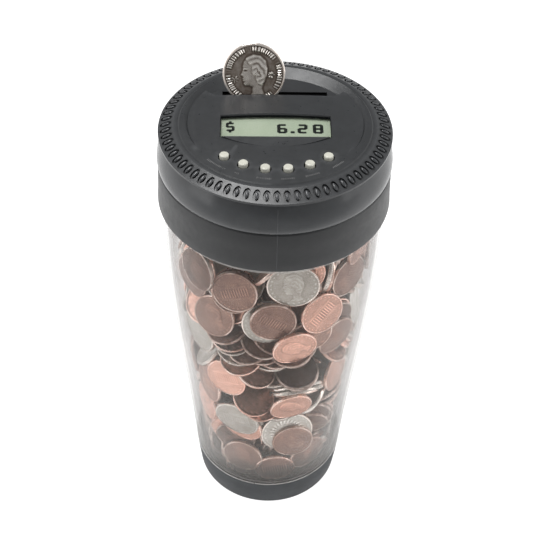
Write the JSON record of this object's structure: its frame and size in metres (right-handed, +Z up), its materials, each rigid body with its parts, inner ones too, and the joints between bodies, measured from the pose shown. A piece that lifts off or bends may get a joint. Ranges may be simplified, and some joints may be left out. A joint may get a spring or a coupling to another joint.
{
  "type": "coin counting jar",
  "caption": "Clear double-walled tumbler of coins whose plug-in lid counts each coin pushed through its slot and shows the running total on a display.",
  "frame": {"origin": "centre of the underside of the base, on the surface that the jar stands on", "axes": "+Z up along the jar, -Y towards the front (buttons side), +X to the right seen from the front"},
  "size_m": [0.093, 0.093, 0.222],
  "materials": {
    "black_plastic": "satin moulded black",
    "dark_plastic": "matt moulded black",
    "clear_plastic": "clear, faintly milky",
    "window_plastic": "clear",
    "coins": "worn mixed coins",
    "coin_silver": "worn copper-nickel",
    "seal_rubber": "matt",
    "soft_rubber": "matt",
    "lcd_glass": "reflective display",
    "board": "green solder mask",
    "component_metal": "mixed",
    "screw_steel": "plated steel",
    "contact_brass": "bright",
    "button_plastic": "off-white",
    "battery": "printed sleeve, plain"
  },
  "bodies": {
    "jar": {"base_cap": "black_plastic", "outer_shell": "clear_plastic", "inner_liner": "clear_plastic", "collar": "black_plastic", "coin_pile": "coins"},
    "lid_seal": {"seal_ring": "seal_rubber"},
    "lid": {"top_cap": "black_plastic", "display_window": "window_plastic", "lcd_panel": "lcd_glass", "display_frame": "dark_plastic", "lcd_connectors": "soft_rubber", "circuit_board": "board", "controller_chip": "dark_plastic", "board_components": "component_metal", "keypad_membrane": "soft_rubber", "board_screws": "screw_steel", "chute_front": "dark_plastic", "chute_back": "dark_plastic", "lever_pin": "screw_steel", "lever_spring": "screw_steel", "contact_block": "dark_plastic", "contact_blades": "contact_brass", "battery_tray": "dark_plastic", "battery_1": "battery", "battery_2": "battery", "battery_springs": "screw_steel", "battery_plates": "contact_brass", "inner_cover": "black_plastic", "cover_screws": "screw_steel"},
    "quarter": {"quarter": "coin_silver"},
    "sensing_lever": {"sensing_lever": "dark_plastic"},
    "battery_door": {"battery_door": "black_plastic", "door_screw": "screw_steel"},
    "button_1": {"button_1": "button_plastic"},
    "button_2": {"button_2": "button_plastic"},
    "button_3": {"button_3": "button_plastic"},
    "button_4": {"button_4": "button_plastic"},
    "button_5": {"button_5": "button_plastic"},
    "button_6": {"button_6": "button_plastic"}
  },
  "joints": [
    {"name": "lid_lift", "type": "slide", "parent": "jar", "child": "lid_seal", "axis": [0, 0, 1], "range_m": [0, 0.06]},
    {"name": "lid_turn", "type": "hinge", "parent": "lid_seal", "child": "lid", "pos_m": [0, 0, 0.19], "axis": [0, 0, 1], "continuous": true},
    {"name": "coin_drop", "type": "slide", "parent": "lid", "child": "quarter", "axis": [0, -0.3256, -0.9455], "range_m": [0, 0.022]},
    {"name": "lever_swing", "type": "hinge", "parent": "lid", "child": "sensing_lever", "pos_m": [0.0153, 0.01292, 0.18947], "axis": [0, -0.9455, 0.3256], "range_deg": [0, 40], "stiffness_Nm_per_rad": 0.0004},
    {"name": "door_lift_off", "type": "slide", "parent": "lid", "child": "battery_door", "axis": [0, 0, -1], "range_m": [0, 0.0075]},
    {"name": "button_1_press", "type": "slide", "parent": "lid", "child": "button_1", "axis": [0, 0, -1], "range_m": [0, 0.001], "stiffness_N_per_m": 300},
    {"name": "button_2_press", "type": "slide", "parent": "lid", "child": "button_2", "axis": [0, 0, -1], "range_m": [0, 0.001], "stiffness_N_per_m": 300},
    {"name": "button_3_press", "type": "slide", "parent": "lid", "child": "button_3", "axis": [0, 0, -1], "range_m": [0, 0.001], "stiffness_N_per_m": 300},
    {"name": "button_4_press", "type": "slide", "parent": "lid", "child": "button_4", "axis": [0, 0, -1], "range_m": [0, 0.001], "stiffness_N_per_m": 300},
    {"name": "button_5_press", "type": "slide", "parent": "lid", "child": "button_5", "axis": [0, 0, -1], "range_m": [0, 0.001], "stiffness_N_per_m": 300},
    {"name": "button_6_press", "type": "slide", "parent": "lid", "child": "button_6", "axis": [0, 0, -1], "range_m": [0, 0.001], "stiffness_N_per_m": 300}
  ],
  "couplings": [
    {"joint": "lever_swing", "follows": "coin_drop", "rad_per_m": 31.733}
  ]
}
